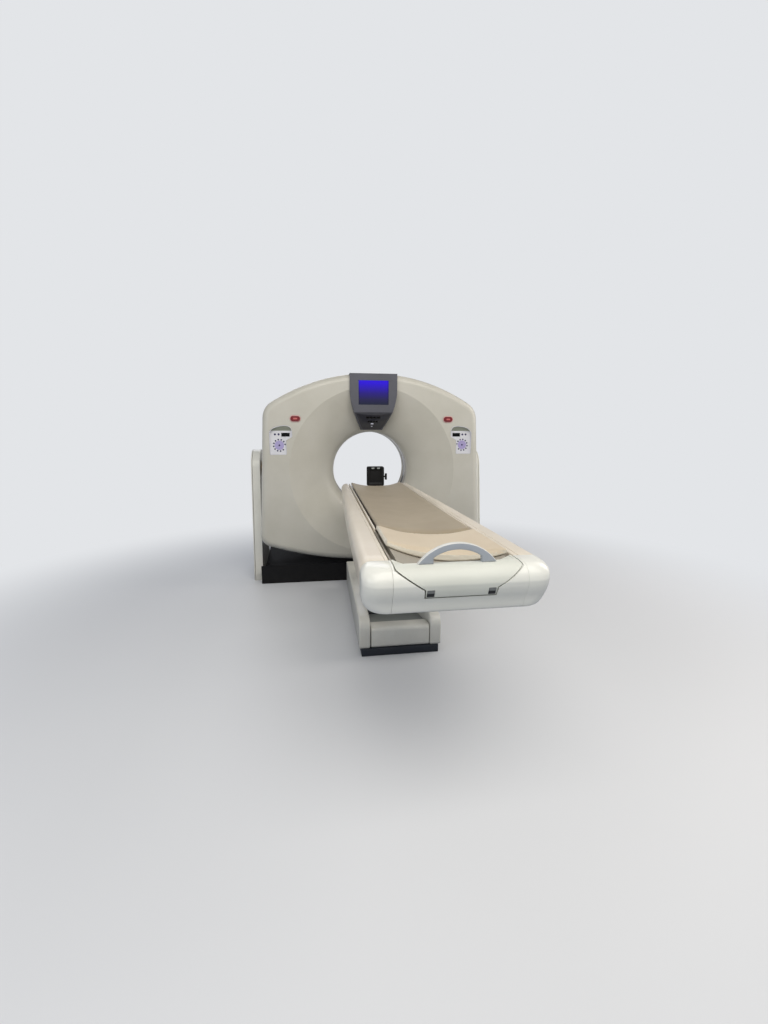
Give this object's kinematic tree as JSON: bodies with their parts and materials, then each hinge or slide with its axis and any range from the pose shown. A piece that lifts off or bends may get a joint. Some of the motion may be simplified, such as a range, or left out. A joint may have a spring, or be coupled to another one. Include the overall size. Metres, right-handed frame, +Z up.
{
  "type": "ct scanner",
  "caption": "Medical CT scanner: round tilting gantry with flared bore and display, and a patient table with parallel lift and sliding cradle.",
  "frame": {"origin": "on the floor under the scan centre, at mid depth of the gantry", "axes": "+Z up, +Y from the patient table through the bore, +X to the right seen from the table end"},
  "size_m": [2.222, 3.542, 1.887],
  "materials": {
    "cover_paint": "satin painted moulded cover",
    "rail_paint": "satin painted table cover",
    "base_black": "matt black powder coat",
    "plinth_slate": "matt slate powder coat",
    "frame_paint": "grey painted steel",
    "hood_grey": "light grey moulded plastic",
    "shield_grey": "grey moulded display surround",
    "fascia_dark": "dark smoked trim",
    "lamp_black": "gloss black windows",
    "screen": "lit blue screen",
    "panel_pale": "pale membrane panel",
    "key_purple": "printed membrane keys",
    "stop_ring": "pale pink surround",
    "stop_red": "red button",
    "liner": "moulded bore liner",
    "window_film": "scan window film",
    "steel": "machined steel",
    "bronze": "bearing bronze",
    "lead_paint": "enamelled tube housing",
    "detector": "detector casing",
    "slip_brass": "slip ring tracks",
    "cradle_carbon": "carbon fibre cradle",
    "pad_beige": "coated mattress cover",
    "pad_cream": "coated foot pad cover",
    "handle_grey": "grey moulded handle",
    "clamp_black": "black moulded clamp"
  },
  "bodies": {
    "stand": {"gantry_base": "base_black", "column_left": "rail_paint", "column_right": "rail_paint", "column_cap_left": "rail_paint", "column_cap_right": "rail_paint", "trunnion_bush_left": "bronze", "trunnion_bush_right": "bronze", "table_plinth": "plinth_slate", "base_frame": "frame_paint", "cheek_left": "rail_paint", "cheek_right": "rail_paint", "base_end_cover": "rail_paint", "base_hood": "hood_grey", "base_pins": "steel"},
    "gantry": {"tilt_frame": "frame_paint", "front_cover": "cover_paint", "rear_cover": "cover_paint", "side_cover_left": "cover_paint", "side_cover_right": "cover_paint", "bore_liner": "liner", "scan_window": "window_film", "display_housing": "shield_grey", "display_screen": "screen", "display_fascia": "fascia_dark", "display_lamps": "lamp_black", "control_panel_left": "panel_pale", "control_panel_right": "panel_pale", "readouts": "lamp_black", "keypads": "key_purple", "stop_rings": "stop_ring", "bearing_outer": "steel"},
    "rotor": {"rotor_drum": "frame_paint", "bearing_inner": "steel", "xray_tube": "lead_paint", "collimator": "base_black", "detector_array": "detector", "hv_generator": "lead_paint", "heat_exchanger": "frame_paint", "counterweight": "base_black", "slip_ring": "slip_brass"},
    "stop_left": {"stop_button_left": "stop_red"},
    "stop_right": {"stop_button_right": "stop_red"},
    "rear_arm": {"lift_arm_rear": "frame_paint"},
    "front_arm": {"lift_arm_front": "frame_paint"},
    "table_top": {"top_frame": "frame_paint", "under_pan": "rail_paint", "side_rail_left": "rail_paint", "side_rail_right": "rail_paint", "bezel_centre": "rail_paint", "bezel_left": "rail_paint", "bezel_right": "rail_paint", "top_pins": "steel", "cradle_track": "steel"},
    "cradle": {"cradle_shell": "cradle_carbon", "mattress": "pad_beige", "foot_pad": "pad_cream", "cradle_end_cap": "rail_paint", "pull_handle": "handle_grey", "head_clamp": "clamp_black"},
    "knob": {"clamp_knob": "clamp_black"}
  },
  "joints": [
    {"name": "gantry_tilt", "type": "hinge", "parent": "stand", "child": "gantry", "pos_m": [0, 0, 1.031], "axis": [1, 0, 0], "range_deg": [-30, 30]},
    {"name": "rotor_spin", "type": "hinge", "parent": "gantry", "child": "rotor", "pos_m": [0, 0, 1.031], "axis": [0, 1, 0], "continuous": true},
    {"name": "stop_left_press", "type": "slide", "parent": "gantry", "child": "stop_left", "axis": [0, 1, 0], "range_m": [0, 0.004], "stiffness_N_per_m": 1500},
    {"name": "stop_right_press", "type": "slide", "parent": "gantry", "child": "stop_right", "axis": [0, 1, 0], "range_m": [0, 0.004], "stiffness_N_per_m": 1500},
    {"name": "table_lift", "type": "hinge", "parent": "stand", "child": "rear_arm", "pos_m": [0, -1.35, 0.16], "axis": [-1, 0, 0], "range_deg": [-43.5, 0]},
    {"name": "front_arm_swing", "type": "hinge", "parent": "stand", "child": "front_arm", "pos_m": [0, -0.9, 0.16], "axis": [-1, 0, 0], "range_deg": [-43.5, 0]},
    {"name": "table_level", "type": "hinge", "parent": "rear_arm", "child": "table_top", "pos_m": [0, -1.8014, 0.80467], "axis": [-1, 0, 0], "range_deg": [0, 43.5]},
    {"name": "cradle_slide", "type": "slide", "parent": "table_top", "child": "cradle", "axis": [0, 1, 0], "range_m": [0, 1.7]},
    {"name": "knob_turn", "type": "hinge", "parent": "cradle", "child": "knob", "pos_m": [0.06, -0.688, 1.008], "axis": [1, 0, 0], "range_deg": [-180, 180]}
  ],
  "couplings": [
    {"joint": "front_arm_swing", "follows": "table_lift", "ratio": 1},
    {"joint": "table_level", "follows": "table_lift", "ratio": -1}
  ]
}
